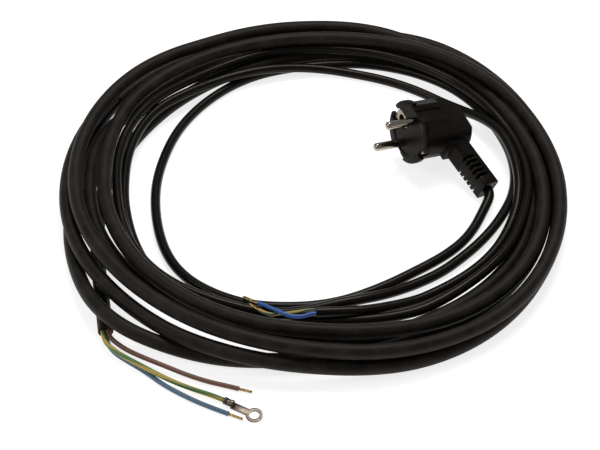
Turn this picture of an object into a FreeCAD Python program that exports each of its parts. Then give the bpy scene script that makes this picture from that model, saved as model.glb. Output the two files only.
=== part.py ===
import FreeCAD, Part
import Sketcher
import math, os

# Loose coil of two flexible cables: a thick rubber-sheathed one whose stripped end lies in front,
# and a thin PVC cord with a moulded earthed plug on one end. Millimetres, +Z up. The origin is on
# the floor, under the middle of the whole part. The coil's own centre is coil_x, coil_y.

os.makedirs("parts", exist_ok=True)
V = FreeCAD.Vector
doc = FreeCAD.newDocument("cable_coil")
sheet = doc.addObject("Spreadsheet::Sheet", "Sizes")

SIZES = [
    ("coil_x", -1.3, "coil centre from the origin"),
    ("coil_y", 8.5, "coil centre from the origin"),
    ("plug_x", 53.7, "plug face from the coil centre"),
    ("plug_y", 22.4, "plug face from the coil centre"),
    ("plug_z", 25.6, "plug face over the floor"),
    ("floor_flat", 0.5, "flat under the strands that carry the coil"),
    ("rubber_dia", 8.0, "rubber cable sheath"),
    ("rubber_core_dia", 2.5, "its core insulation"),
    ("rubber_copper_dia", 1.7, "its bare strand bundle"),
    ("rubber_core_offset", 1.64, "core axis from the cable axis"),
    ("hidden_core_length", 9.0, "stripped cores at the covered end"),
    ("pvc_dia", 5.6, "thin cord sheath"),
    ("pvc_core_dia", 2.0, "its core insulation"),
    ("pvc_copper_dia", 1.3, "its bare strand bundle"),
    ("pvc_core_offset", 1.36, "core axis from the cord axis"),
    ("ring_outer_dia", 8.4, "ring terminal"),
    ("ring_hole_dia", 5.3, "clears an M5 screw"),
    ("ring_thick", 0.8, "terminal sheet"),
    ("ring_reach", 11.8, "barrel end to ring centre"),
    ("ring_neck_width", 3.2, "sheet between barrel and ring"),
    ("barrel_length", 5.0, "crimp barrel"),
    ("barrel_dia", 3.8, "crimp barrel outside"),
    ("barrel_wall", 0.7, "crimp barrel wall"),
    ("pin_dia", 4.8, "plug pin"),
    ("pin_length", 19.0, "pin in front of the plug face"),
    ("pin_pitch", 19.0, "between the pin axes"),
    ("pin_shoulder", 3.0, "thicker part of the pin behind the plug face"),
    ("pin_shoulder_dia", 4.4, "pin where the insert grips it"),
    ("pin_root_dia", 3.6, "pin inside the carrier"),
    ("pin_root_length", 9.4, "pin behind the plug face"),
    ("collar_dia", 36.4, "front rim of the plug"),
    ("collar_thick", 2.6, "front rim of the plug"),
    ("body_dia", 33.4, "plug body"),
    ("body_depth", 33.0, "face to back"),
    ("grip_depth", 17.6, "face to the narrow rear"),
    ("rear_width", 23.4, "across the flats of the rear"),
    ("slope_front", 19.0, "depth where the rear slope starts"),
    ("slope_top", 2.6, "where the rear slope ends, above the plug axis"),
    ("guide_width", 5.4, "side grooves for the socket's guides"),
    ("guide_depth", 0.6, "side grooves, from the hollow inwards"),
    ("cheek_width", 13.6, "shallow hollow round each groove"),
    ("cheek_depth", 1.3, "shallow hollow, from the body inwards"),
    ("neck_width", 13.0, "bend relief, across the pin line"),
    ("neck_thick", 10.6, "bend relief, along the pins"),
    ("neck_end", 48.0, "plug axis to the cord exit"),
    ("neck_behind", 9.5, "back to the relief's axis, at the plug axis"),
    ("neck_lean", 6.2, "degrees, relief leans away from the face"),
    ("lip_depth", 17.0, "face to the lip under the relief"),
    ("lip_reach", 18.6, "plug axis to the lip"),
    ("neck_round", 1.8, "fillet on the relief"),
    ("slot_count", 5, "slots on each side of the relief"),
    ("slot_pitch", 3.3, "along the relief"),
    ("slot_width", 1.7, "along the relief"),
    ("slot_depth", 3.4, "into the relief"),
    ("slot_stop", 1.5, "slots reach this far past the relief's middle"),
    ("slot_first", 27.0, "plug axis to the first slot"),
    ("slot_shift", 1.65, "lower slots from the upper ones"),
    ("carrier_dia", 27.0, "hard insert seen in the face"),
    ("carrier_thick", 9.0, "hard insert"),
    ("carrier_sink", 0.4, "insert behind the rim's face"),
    ("earth_offset", 10.0, "plug axis to the earth hole"),
    ("earth_hole_dia", 5.0, "takes the socket's earth pin"),
    ("earth_plate_width", 8.4, "plate round the earth hole"),
    ("earth_plate_thick", 0.8, "strip metal"),
    ("earth_plate_tip", 2.4, "plate's point, from the plug axis"),
    ("earth_window", 0.3, "gap round the plate"),
    ("earth_sink", 1.3, "plate behind the plug face"),
    ("sleeve_wall", 0.5, "spring sleeve behind the hole"),
    ("sleeve_length", 14.0, "spring sleeve behind the hole"),
    ("clip_width", 4.2, "side spring clips"),
    ("clip_reach", 15.4, "plug axis to a clip's outer side"),
    ("clip_length", 5.0, "bare part of a clip"),
    ("clip_gap", 0.4, "room behind a clip"),
    ("clip_room", 5.4, "width of the recess for a clip"),
    ("crimp_dia", 3.2, "crimp on a pin's root"),
    ("crimp_length", 6.0, "crimp on a pin's root"),
    ("cord_in_plug", 20.0, "sheath held inside the relief"),
    ("plug_core_run", 4.0, "core straight out of the held sheath"),
    ("plug_core_turn", 4.0, "core's turn beside its crimp"),
    ("plug_core_sag", 4.5, "core behind the end of its crimp"),
]
for row, (alias, value, note) in enumerate(SIZES, start=1):
    sheet.set("A%d" % row, alias)
    sheet.set("B%d" % row, str(value))
    sheet.set("C%d" % row, note)
    sheet.setAlias("B%d" % row, alias)
doc.recompute()


def size(alias):
    return float(sheet.get(alias))


def bind(obj, prop, expression):
    obj.setExpression(prop, expression)


CENTRE = V(size("coil_x"), size("coil_y"), 0)
RUBBER_LOW = size("rubber_dia") / 2 - size("floor_flat")
PVC_LOW = size("pvc_dia") / 2 - size("floor_flat")

# Routes. A coil is given by its radius and its height over the floor strands: the rubber cable at every
# quarter turn from under the loops at the left, anticlockwise seen from above.
RUBBER_START = 225
RUBBER_QUARTERS = [
    (136.6, 9.3), (133.2, 0), (141.0, 0), (138.8, 0),
    (149.2, 9.2), (141.9, 0), (150.8, 1.8), (134.8, 17.4),
    (129.7, 17.0), (142.4, 10.2), (135.4, 9.4), (124.2, 13.2),
    (119.2, 17.4), (129.0, 9.4), (129.8, 0), (130.0, 5.2),
    (123.4, 9.0), (121.0, 0), (120.8, 0), (114.8, 0),
]
RUBBER_LEAD_IN = (150, 137.4, 9.6)
RUBBER_LEAD_OUT = (180, 118.5, 0.55)
HALF_TURN = 250
# The PVC cord, with its angles, comes from the plug at the back right and runs clockwise.
PVC_STATIONS = [
    (67.5, 107.6, 0.55), (45, 109.9, 0.4), (0, 112.5, 0.2), (-45, 94.7, 0),
    (-135, 108.5, 0), (-225, 112.8, 8.8), (-315, 124.2, 8.5), (-405, 118.0, 8.5),
    (-495, 102.5, 6.2), (-585, 106.3, 8.5), (-675, 117.2, 8.7), (-720, 116.5, 7.0), (-765, 103.9, 0.55),
]


def station(start, step, number, radius, height):
    return (start + step * number, radius, height)


def coil_points(stations, low):
    """Point and level tangent at each station, given as angle, radius and height over the floor strands."""
    points = []
    last = len(stations) - 1
    for i, (angle, radius, height) in enumerate(stations):
        before, after = stations[max(i - 1, 0)], stations[min(i + 1, last)]
        swell = (after[1] - before[1]) / math.radians(after[0] - before[0])
        turn = math.radians(angle)
        way = 1 if after[0] > before[0] else -1
        outward, along = V(math.cos(turn), math.sin(turn), 0), V(-math.sin(turn), math.cos(turn), 0)
        tangent = (along * radius + outward * swell) * way
        points.append((CENTRE + outward * radius + V(0, 0, low + height), tangent.normalize()))
    return points


def arc(start, tangent, end):
    """Arc that leaves start along tangent and reaches end, or a line when they are in line."""
    chord = end - start
    across = chord - tangent * chord.dot(tangent)
    if across.Length < 1e-6:
        return Part.LineSegment(start, end).toShape()
    across.normalize()
    radius = chord.Length ** 2 / (2 * chord.dot(across))
    middle = start + across * radius
    to_mid = (start + chord / 2 - middle).normalize()
    return Part.Arc(start, middle + to_mid * radius, end).toShape()


def biarcs(points):
    """Two tangent arcs between each station and the next."""
    edges = []
    for (start, go), (end, arrive) in zip(points, points[1:]):
        chord, pull = end - start, go + arrive
        slack = 2 * (1 - go.dot(arrive))
        lean = chord.dot(pull)
        reach = (-lean + math.sqrt(lean ** 2 + slack * chord.dot(chord))) / slack
        first, second = start + go * reach, end - arrive * reach
        joint = (first + second) / 2
        edges.append(arc(start, go, joint))
        edges.append(arc(joint, (second - first).normalize(), end))
    return edges


def straight_ends(edges, points, length):
    """Lines of one tube diameter before the first and after the last arc."""
    (start, go), (end, arrive) = points[0], points[-1]
    before = Part.LineSegment(start - go * length, start).toShape()
    after = Part.LineSegment(end, end + arrive * length).toShape()
    return [before] + edges + [after]


def route_edges(name, points):
    """Straight runs joined by tangent arcs, each as large as its two runs allow."""
    edges, radii, at = [], [], points[0]
    for before, corner, after in zip(points, points[1:], points[2:]):
        run_in, run_out = corner - before, after - corner
        half_turn = run_in.getAngle(run_out) / 2
        trim = 0.45 * min(run_in.Length, run_out.Length)
        radii.append(trim / math.tan(half_turn))
        go, leave = run_in.normalize(), run_out.normalize()
        first, second = corner - go * trim, corner + leave * trim
        edges.append(Part.LineSegment(at, first).toShape())
        edges.append(arc(first, go, second))
        at = second
    edges.append(Part.LineSegment(at, points[-1]).toShape())
    print("%s radii mm:" % name, ", ".join("%.0f" % radius for radius in radii) or "straight")
    return edges


def facing(origin, direction):
    return FreeCAD.Placement(origin, FreeCAD.Rotation(V(0, 0, 1), direction))


def tube(name, edges, diameter_alias):
    """Round tube along a path; its volume is compared with its section times its length."""
    path = doc.addObject("Part::Feature", name + "_path")
    path.Shape = Part.Wire(edges)
    first = edges[0]
    ring = doc.addObject("Part::Circle", name + "_section")
    bind(ring, "Radius", "Sizes.%s / 2" % diameter_alias)
    ring.Placement = facing(first.valueAt(first.FirstParameter), first.tangentAt(first.FirstParameter))
    sweep = doc.addObject("Part::Sweep", name)
    sweep.Sections = [ring]
    sweep.Spine = (path, [])
    sweep.Solid = True
    doc.recompute()
    section = math.pi * size(diameter_alias) ** 2 / 4
    print("%s: length %.1f mm, volume %.4f of section times length"
          % (name, path.Shape.Length, sweep.Shape.Volume / (section * path.Shape.Length)))
    return sweep


def least_gap(path, diameter, apart):
    """Least gap of a tube to itself between points that lie more than apart along its path."""
    step = diameter / 2
    count = int(path.Length / step)
    spots = path.discretize(count)
    skip = int(apart / step)
    least = min((spots[i] - spots[j]).Length for i in range(count) for j in range(i + skip, count))
    return least - diameter


def grounded(name, sweep, reach):
    """The tube without the sliver under the floor: flats where its lowest strands carry the coil."""
    below = doc.addObject("Part::Box", name + "_ground")
    for prop in ("Length", "Width"):
        setattr(below, prop, reach * 2)
    bind(below, "Height", "Sizes.floor_flat * 4")
    below.Placement = FreeCAD.Placement(CENTRE - V(reach, reach, size("floor_flat") * 4), FreeCAD.Rotation())
    cut = doc.addObject("Part::Cut", name)
    cut.Base, cut.Tool = sweep, below
    cut.Label = name
    doc.recompute()
    return cut


def wound(name, stations, low, diameter_alias):
    points = coil_points(stations, low)
    edges = straight_ends(biarcs(points), points, size(diameter_alias))
    sweep = tube(name + "_round", edges, diameter_alias)
    path = Part.Wire(edges)
    print("%s: least gap to itself %.2f mm" % (name, least_gap(path, size(diameter_alias), HALF_TURN)))
    reach = max(radius for angle, radius, height in stations) + 4 * size(diameter_alias)
    return grounded(name, sweep, reach), path


rubber_stations = [RUBBER_LEAD_IN] + [
    station(RUBBER_START, 90, i, radius, height) for i, (radius, height) in enumerate(RUBBER_QUARTERS)]
rubber_stations.append((RUBBER_START + 90 * (len(RUBBER_QUARTERS) - 1) + 45,) + RUBBER_LEAD_OUT[1:])
rubber_coil, rubber_path = wound("rubber_cable_coil", rubber_stations, RUBBER_LOW, "rubber_dia")

pvc_coil, pvc_path = wound("pvc_cord_coil", PVC_STATIONS, PVC_LOW, "pvc_dia")

# Free stretches. Their points are given from the coil's centre at floor level.
LEAD_FROM_PLUG = [
    (99.6, -12.4, 4.5), (97.6, -19.6, 3.3), (93.2, -27.6, 2.9), (86.0, -37.4, 2.85), (74.7, -49.9, 2.9),
    (60.9, -61.6, 2.85), (42.8, -72.0, 2.9), (18.8, -82.2, 2.85), (-7.5, -88.0, 2.9), (-33.7, -87.2, 2.85),
    (-60.4, -77.9, 2.9), (-78.2, -59.6, 2.85), (-88.1, -34.2, 2.9), (-90.9, -9.6, 2.85), (-88.1, 19.9, 2.9),
    (-79.7, 48.5, 2.85), (-66.6, 72.5, 2.9), (-49.9, 89.3, 2.85), (-30.5, 100.6, 2.9), (-9.5, 106.9, 2.85),
    (9.5, 107.7, 2.9),
]
TAIL_TO_END = [
    (55.0, -87.5, 4.0), (43.0, -93.0, 6.0), (29.0, -97.2, 7.8), (14.5, -99.9, 8.3), (0.8, -100.6, 8.3),
]
RUBBER_END = [(-118.4, -40.0, 4.05), (-115.8, -62.0, 4.1), (-111.3, -86.0, 4.05), (-107.0, -110.0, 4.05)]
RUBBER_CORES = {
    "brown": (30, [
        (-102.0, -117.0, 4.7), (-95.6, -122.2, 4.3), (-88.2, -126.2, 3.9), (-75.6, -132.0, 3.2),
        (-64.8, -136.9, 2.4), (-54.1, -140.9, 1.8), (-43.6, -143.6, 1.4), (-37.8, -145.3, 1.3)]),
    "earth": (150, [
        (-105.8, -118.3, 4.6), (-101.6, -122.6, 4.4), (-95.5, -127.2, 4.2), (-88.1, -132.0, 4.2),
        (-79.0, -138.0, 4.0), (-68.1, -143.3, 2.8), (-57.4, -147.6, 2.2), (-49.4, -150.6, 2.0),
        (-44.6, -153.2, 2.0)]),
    "blue": (270, [
        (-104.7, -117.9, 1.7), (-100.9, -122.6, 1.35), (-94.9, -127.2, 1.3), (-84.8, -134.5, 1.35),
        (-75.8, -142.5, 1.3), (-64.6, -150.0, 1.35), (-53.6, -156.0, 1.3), (-42.3, -161.1, 1.3)]),
}
TAIL_CORES = {
    "earth": (30, [
        (-5.4, -99.6, 8.5), (-10.9, -99.8, 7.4), (-15.8, -99.5, 6.7), (-22.0, -98.9, 6.3),
        (-26.6, -96.4, 5.9), (-29.6, -93.6, 5.4)]),
    "blue": (150, [
        (-5.5, -103.9, 9.2), (-9.8, -104.4, 9.3), (-14.3, -103.2, 9.3), (-18.4, -100.2, 9.0),
        (-24.2, -95.9, 7.6), (-29.2, -91.5, 5.9)]),
    "brown": (270, [(-6.0, -101.6, 6.7), (-11.3, -102.6, 6.6), (-15.7, -102.5, 6.6)]),
}
COPPER_LENGTHS = {"rubber_brown": 6.2, "rubber_earth": 4.6, "rubber_blue": 7.0,
                  "tail_brown": 4.0, "tail_earth": 6.4, "tail_blue": 9.0}
# Straight first runs of the free stretches, and the lead's last one.
RUBBER_END_RUN, TAIL_RUN, PLUG_EXIT_RUN, LEAD_LAST_RUN = 14, 7, 3.5, 10


def placed(points):
    return [CENTRE + V(*point) for point in points]


def end_of(path, last=True):
    """End point of a path and the direction in which the path leaves it."""
    edge = path.Edges[-1] if last else path.Edges[0]
    ends = (edge.Vertexes[0].Point, edge.Vertexes[-1].Point)
    return (ends[1], (ends[1] - ends[0]).normalize()) if last else (ends[0], (ends[0] - ends[1]).normalize())


def rod(name, start, direction, length, diameter_alias):
    """Straight round piece."""
    piece = doc.addObject("Part::Cylinder", name)
    bind(piece, "Radius", "Sizes.%s / 2" % diameter_alias)
    piece.Height = length
    piece.Placement = facing(start, direction)
    return piece


def core_seat(end, direction, offset, angle):
    """Where a core leaves the cable's end face; the angle starts at the side and turns upwards."""
    side = V(0, 0, 1).cross(direction).normalize()
    if side.x + side.y < 0:
        side = -side
    turn = math.radians(angle)
    return end + side * (offset * math.cos(turn)) + V(0, 0, offset * math.sin(turn))


def stripped_end(prefix, end, direction, cores, kind):
    """Cores that leave a cable's end face square and bend apart, each with its bare strands."""
    pieces, tips = [], {}
    for colour, (angle, points) in cores.items():
        seat = core_seat(end, direction, size(kind + "_core_offset"), angle)
        name = "%s_core_%s" % (prefix, colour)
        route = [seat, seat + direction * size(kind + "_core_dia") * 1.5] + placed(points)
        pieces.append(tube(name, route_edges(name, route), kind + "_core_dia"))
        tip, way = route[-1], (route[-1] - route[-2]).normalize()
        length = COPPER_LENGTHS["%s_%s" % (prefix, colour)]
        pieces.append(rod("%s_copper_%s" % (prefix, colour), tip, way, length, kind + "_copper_dia"))
        tips[colour] = (tip, way)
    return pieces, tips


nodes = [rubber_coil, pvc_coil]

# The rubber cable's free end, its cores and the ring terminal on the earth core.
joint, way = end_of(rubber_path)
route = [joint, joint + way * RUBBER_END_RUN] + placed(RUBBER_END)
nodes.append(tube("rubber_cable_end", route_edges("rubber_cable_end", route), "rubber_dia"))
rubber_way = (route[-1] - route[-2]).normalize()
pieces, rubber_tips = stripped_end("rubber", route[-1], rubber_way, RUBBER_CORES, "rubber")
nodes += pieces

# The rubber cable's other end lies under the loops, with three short cores.
joint, way = end_of(rubber_path, last=False)
for colour, (angle, points) in RUBBER_CORES.items():
    seat = core_seat(joint, way, size("rubber_core_offset"), angle)
    piece = rod("covered_core_%s" % colour, seat, way, size("hidden_core_length"), "rubber_core_dia")
    bind(piece, "Height", "Sizes.hidden_core_length")
    nodes.append(piece)

# The thin cord's tail and its cores.
joint, way = end_of(pvc_path)
route = [joint, joint + way * TAIL_RUN] + placed(TAIL_TO_END)
nodes.append(tube("pvc_cord_tail", route_edges("pvc_cord_tail", route), "pvc_dia"))
tail_way = (route[-1] - route[-2]).normalize()
pieces, tail_tips = stripped_end("tail", route[-1], tail_way, TAIL_CORES, "pvc")
nodes += pieces

# The plug is built around its own axes: +Z out of the face along the pins, +Y towards the cord's exit.
PLUG_AT = CENTRE + V(size("plug_x"), size("plug_y"), size("plug_z"))
PINS_WAY = V(-0.853, -0.477, 0.216).normalize()
CORD_WAY = V(0.42, -0.868, -0.262)
PLUG_POSE = FreeCAD.Placement(PLUG_AT, FreeCAD.Rotation(CORD_WAY.cross(PINS_WAY), CORD_WAY, PINS_WAY, "ZYX"))


def origin_plane(body, role):
    return next(part for part in body.Origin.OriginFeatures if part.Role == role)


def new_body(name, pose):
    body = doc.addObject("PartDesign::Body", name)
    body.Placement = pose
    return body


def new_sketch(body, name, role="XY_Plane", offset=None):
    sketch = body.newObject("Sketcher::SketchObject", name)
    sketch.AttachmentSupport = [(origin_plane(body, role), "")]
    sketch.MapMode = "FlatFace"
    if offset:
        sketch.AttachmentOffset = offset
    return sketch


def pin_down(sketch, geometry, point, x, y):
    """Fixes a point of the sketch at two expressions, measured from its origin."""
    for kind, expression in (("DistanceX", x), ("DistanceY", y)):
        value = sketch.evalExpression(expression)
        if hasattr(value, "Value"):
            value = value.Value
        if abs(value) < 1e-9:
            axis = -2 if kind == "DistanceX" else -1
            sketch.addConstraint(Sketcher.Constraint("PointOnObject", geometry, point, axis))
        else:
            index = sketch.addConstraint(Sketcher.Constraint(kind, -1, 1, geometry, point, value))
            sketch.setExpression("Constraints[%d]" % index, expression)


def add_circle(sketch, x, y, diameter):
    number = sketch.addGeometry(Part.Circle(V(), V(0, 0, 1), 1))
    pin_down(sketch, number, 3, x, y)
    index = sketch.addConstraint(Sketcher.Constraint("Diameter", number, 2.0))
    sketch.setExpression("Constraints[%d]" % index, diameter)


def number_at(sketch, expression):
    value = sketch.evalExpression(expression)
    return getattr(value, "Value", value)


def add_outline(sketch, corners):
    """Closed outline through corners given as pairs of expressions."""
    spots = [V(number_at(sketch, x), number_at(sketch, y), 0) for x, y in corners]
    first = sketch.GeometryCount
    count = len(corners)
    for i in range(count):
        sketch.addGeometry(Part.LineSegment(spots[i], spots[(i + 1) % count]))
    for i in range(count):
        sketch.addConstraint(Sketcher.Constraint("Coincident", first + i, 2, first + (i + 1) % count, 1))
    for i, (x, y) in enumerate(corners):
        pin_down(sketch, first + i, 1, x, y)


def add_box(sketch, x0, y0, x1, y1):
    add_outline(sketch, [(x0, y0), (x1, y0), (x1, y1), (x0, y1)])


def feature(body, kind, name, sketch, length, reverse=False, both=False):
    """Pad or Pocket whose length is an expression; both means half of it to each side."""
    before = body.Tip.Shape.Volume if kind == "Pocket" else 0
    made = body.newObject("PartDesign::" + kind, name)
    made.Profile = sketch
    made.SideType = "Symmetric" if both else "One side"
    made.Reversed = reverse
    bind(made, "Length", length)
    body.Tip = made
    doc.recompute()
    if kind == "Pocket" and not made.Shape.Volume < before - 0.01:
        raise RuntimeError(name + " cuts nothing")
    return made


def rounded(body, name, test, radius):
    """Fillet on the edges of the body so far that pass the test."""
    base = body.Tip
    edges = ["Edge%d" % (i + 1) for i, edge in enumerate(base.Shape.Edges) if test(edge)]
    made = body.newObject("PartDesign::Fillet", name)
    made.Base = (base, edges)
    bind(made, "Radius", radius)
    body.Tip = made
    doc.recompute()


# Overmoulding: rim, round body, narrow sloping rear and the slotted bend relief.
mould = new_body("plug_mould", PLUG_POSE)
rim = new_sketch(mould, "rim_outline")
add_circle(rim, "0", "0", "Sizes.collar_dia")
feature(mould, "Pad", "rim", rim, "Sizes.collar_thick", reverse=True)
round_body = new_sketch(mould, "body_outline")
add_circle(round_body, "0", "0", "Sizes.body_dia")
feature(mould, "Pad", "body", round_body, "Sizes.body_depth", reverse=True)

flats = new_sketch(mould, "rear_flats", "XZ_Plane")
for side in ("-", ""):
    add_box(flats, side + "Sizes.rear_width / 2", "-Sizes.grip_depth",
            side + "(Sizes.collar_dia)", "-Sizes.body_depth - 5")
feature(mould, "Pocket", "rear_sides", flats, "Sizes.collar_dia * 2", both=True)
slope = new_sketch(mould, "rear_slope", "YZ_Plane")
add_outline(slope, [("-Sizes.body_dia / 2 - 1", "-Sizes.slope_front"),
                    ("-Sizes.slope_top", "-Sizes.body_depth"),
                    ("-Sizes.slope_top", "-Sizes.body_depth - 4"),
                    ("-Sizes.body_dia / 2 - 1", "-Sizes.body_depth - 4")])
feature(mould, "Pocket", "rear_top", slope, "Sizes.body_dia * 2", both=True)

NECK_DEPTH = "(Sizes.body_depth - Sizes.neck_behind)"
neck_depth = size("body_depth") - size("neck_behind")
LEAN = FreeCAD.Placement(V(0, -neck_depth, 0), FreeCAD.Rotation(V(0, 0, 1), -size("neck_lean")))
relief = new_sketch(mould, "relief_side", "YZ_Plane", LEAN)
add_box(relief, "Sizes.body_dia / 4", "-Sizes.neck_thick / 2", "Sizes.neck_end", "Sizes.neck_thick / 2")
feature(mould, "Pad", "relief", relief, "Sizes.neck_width", both=True)

along_relief = FreeCAD.Rotation(V(1, 0, 0), -size("neck_lean")).multVec(V(0, 1, 0))


def is_relief_edge(edge):
    if edge.Curve.TypeId != "Part::GeomLine" or edge.Length < size("neck_thick"):
        return False
    return abs(abs(edge.tangentAt(edge.FirstParameter).dot(along_relief)) - 1) < 1e-4


rounded(mould, "relief_rounding", is_relief_edge, "Sizes.neck_round")
lip = new_sketch(mould, "lip_side", "YZ_Plane")
add_box(lip, "Sizes.body_dia / 4", "-Sizes.lip_depth", "Sizes.lip_reach", "-" + NECK_DEPTH)
feature(mould, "Pad", "lip", lip, "Sizes.neck_width", both=True)

# Slots: cut from both broad sides and open to the front, the lower row half a pitch further out.
for side, shift in (("upper", "0"), ("lower", "Sizes.slot_shift")):
    way = -1 if side == "upper" else 1
    offset = LEAN * FreeCAD.Placement(V(0, 0, way * size("neck_width") / 2), FreeCAD.Rotation())
    slot = new_sketch(mould, side + "_slot", "YZ_Plane", offset)
    add_box(slot, "Sizes.slot_first + " + shift, "-Sizes.slot_stop",
            "Sizes.slot_first + Sizes.slot_width + " + shift, "Sizes.neck_thick")
    first_slot = feature(mould, "Pocket", side + "_first_slot", slot, "Sizes.slot_depth", reverse=way < 0)
    row = mould.newObject("PartDesign::LinearPattern", side + "_slots")
    row.Originals = [first_slot]
    row.Direction = (slot, ["H_Axis"])
    bind(row, "Length", "Sizes.slot_pitch * (Sizes.slot_count - 1)")
    bind(row, "Occurrences", "Sizes.slot_count")
    mould.Tip = row
    doc.recompute()

# Hollows and guide grooves in line with the pins, and the two recesses for the earth clips.
cheeks = new_sketch(mould, "cheek_ends")
grooves = new_sketch(mould, "groove_ends")
recesses = new_sketch(mould, "clip_recesses")
for side in ("-", ""):
    add_box(cheeks, side + "(Sizes.body_dia / 2 - Sizes.cheek_depth)", "-Sizes.cheek_width / 2",
            side + "(Sizes.collar_dia)", "Sizes.cheek_width / 2")
    add_box(grooves, side + "(Sizes.body_dia / 2 - Sizes.cheek_depth - Sizes.guide_depth)", "-Sizes.guide_width / 2",
            side + "(Sizes.collar_dia)", "Sizes.guide_width / 2")
    add_box(recesses, "-Sizes.clip_room / 2", side + "(Sizes.clip_reach - Sizes.clip_gap * 2)",
            "Sizes.clip_room / 2", side + "(Sizes.collar_dia)")
feature(mould, "Pocket", "cheeks", cheeks, "Sizes.grip_depth")
feature(mould, "Pocket", "guide_grooves", grooves, "Sizes.grip_depth")
feature(mould, "Pocket", "clip_room", recesses, "Sizes.clip_length")

# Pins: a shoulder behind the face, a rounded tip and a thinner root.
pins = {}
for name, side in (("plug_pin_line", -1), ("plug_pin_neutral", 1)):
    pin = new_body(name, PLUG_POSE * FreeCAD.Placement(V(side * size("pin_pitch") / 2, 0, 0), FreeCAD.Rotation()))
    shaft = new_sketch(pin, name + "_shaft")
    add_circle(shaft, "0", "0", "Sizes.pin_dia")
    feature(pin, "Pad", name + "_front", shaft, "Sizes.pin_length")
    shoulder = new_sketch(pin, name + "_grip")
    add_circle(shoulder, "0", "0", "Sizes.pin_shoulder_dia")
    feature(pin, "Pad", name + "_shoulder", shoulder, "Sizes.pin_shoulder", reverse=True)
    root = new_sketch(pin, name + "_root")
    add_circle(root, "0", "0", "Sizes.pin_root_dia")
    feature(pin, "Pad", name + "_back", root, "Sizes.pin_root_length", reverse=True)
    rounded(pin, name + "_tip", lambda edge: abs(edge.BoundBox.ZMin - size("pin_length")) < 1e-6,
            "Sizes.pin_dia * 0.4")
    pins[name] = pin


def plug_cylinder(name, x, y, top, diameter, height):
    """Cylinder behind the plug's face, from depth top downwards; sizes are expressions."""
    piece = doc.addObject("Part::Cylinder", name)
    bind(piece, "Radius", "(%s) / 2" % diameter)
    bind(piece, "Height", height)
    local = FreeCAD.Placement(V(x, y, -top), FreeCAD.Rotation(V(1, 0, 0), 180))
    piece.Placement = PLUG_POSE * local
    return piece


def fused(name, pieces):
    group = doc.addObject("Part::MultiFuse", name)
    group.Shapes = pieces
    return group


def cut(name, base, tool):
    made = doc.addObject("Part::Cut", name)
    made.Base, made.Tool = base, tool
    made.Label = name
    return made


# Earth strip: a plate with the hole behind the face, a band behind the insert and a clip up each side.
strip = new_body("plug_earth_strip", PLUG_POSE)
band = new_sketch(strip, "band_side", "YZ_Plane")
OUT, IN = "Sizes.clip_reach", "(Sizes.clip_reach - Sizes.earth_plate_thick)"
BACK, FRONT = "-(Sizes.carrier_sink + Sizes.carrier_thick)", "-Sizes.earth_sink"
add_outline(band, [("-" + OUT, FRONT), ("-" + OUT, BACK + " - Sizes.earth_plate_thick"),
                   (OUT, BACK + " - Sizes.earth_plate_thick"), (OUT, FRONT), (IN, FRONT), (IN, BACK),
                   ("-" + IN, BACK), ("-" + IN, FRONT)])
feature(strip, "Pad", "band", band, "Sizes.clip_width", both=True)
broad = new_sketch(strip, "broad_side", "YZ_Plane")
add_box(broad, "-" + OUT, BACK + " - Sizes.earth_plate_thick", "-(Sizes.earth_offset - Sizes.earth_hole_dia)", BACK)
feature(strip, "Pad", "broad_back", broad, "Sizes.earth_plate_width", both=True)
PLATE_AT = FreeCAD.Placement(V(0, 0, -size("earth_sink")), FreeCAD.Rotation())
plate = new_sketch(strip, "plate_outline", offset=PLATE_AT)


def add_plate(sketch, grow):
    half, shoulder = "(Sizes.earth_plate_width / 2 + %s)" % grow, "-(Sizes.earth_offset - Sizes.earth_hole_dia / 2)"
    add_outline(sketch, [("-" + half, "-" + OUT), (half, "-" + OUT), (half, shoulder + " + %s" % grow),
                         ("0", "-Sizes.earth_plate_tip + %s * 2" % grow), ("-" + half, shoulder + " + %s" % grow)])


add_plate(plate, "0")
feature(strip, "Pad", "plate", plate, "Sizes.earth_plate_thick", reverse=True)
hole = new_sketch(strip, "earth_hole", offset=PLATE_AT)
add_circle(hole, "0", "-Sizes.earth_offset", "Sizes.earth_hole_dia + Sizes.sleeve_wall * 2")
feature(strip, "Pocket", "hole", hole, "Sizes.carrier_thick * 2")

sleeve_top = size("earth_sink")
earth_y = -size("earth_offset")
SLEEVE_DIA = "Sizes.earth_hole_dia + Sizes.sleeve_wall * 2"
sleeve_outer = plug_cylinder("sleeve_outer", 0, earth_y, sleeve_top, SLEEVE_DIA, "Sizes.sleeve_length")
sleeve_bore = plug_cylinder("sleeve_bore", 0, earth_y, sleeve_top - 1, "Sizes.earth_hole_dia",
                            "Sizes.sleeve_length + 2")
sleeve = cut("plug_earth_sleeve", sleeve_outer, sleeve_bore)

# Hard insert in the face, which holds the pins and the earth strip.
insert_round = plug_cylinder("insert_round", 0, 0, size("carrier_sink"), "Sizes.carrier_dia", "Sizes.carrier_thick")
window = new_body("plate_window", PLUG_POSE)
window_outline = new_sketch(window, "window_outline")
add_plate(window_outline, "Sizes.earth_window")
feature(window, "Pad", "window_depth", window_outline,
        "Sizes.earth_sink + Sizes.earth_plate_thick", reverse=True)
sleeve_way = plug_cylinder("sleeve_way", 0, earth_y, 0, SLEEVE_DIA, "Sizes.earth_sink + Sizes.sleeve_length")
insert_tools = fused("insert_tools", [pins["plug_pin_line"], pins["plug_pin_neutral"], window, sleeve_way])
insert = cut("plug_insert", insert_round, insert_tools)

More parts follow.
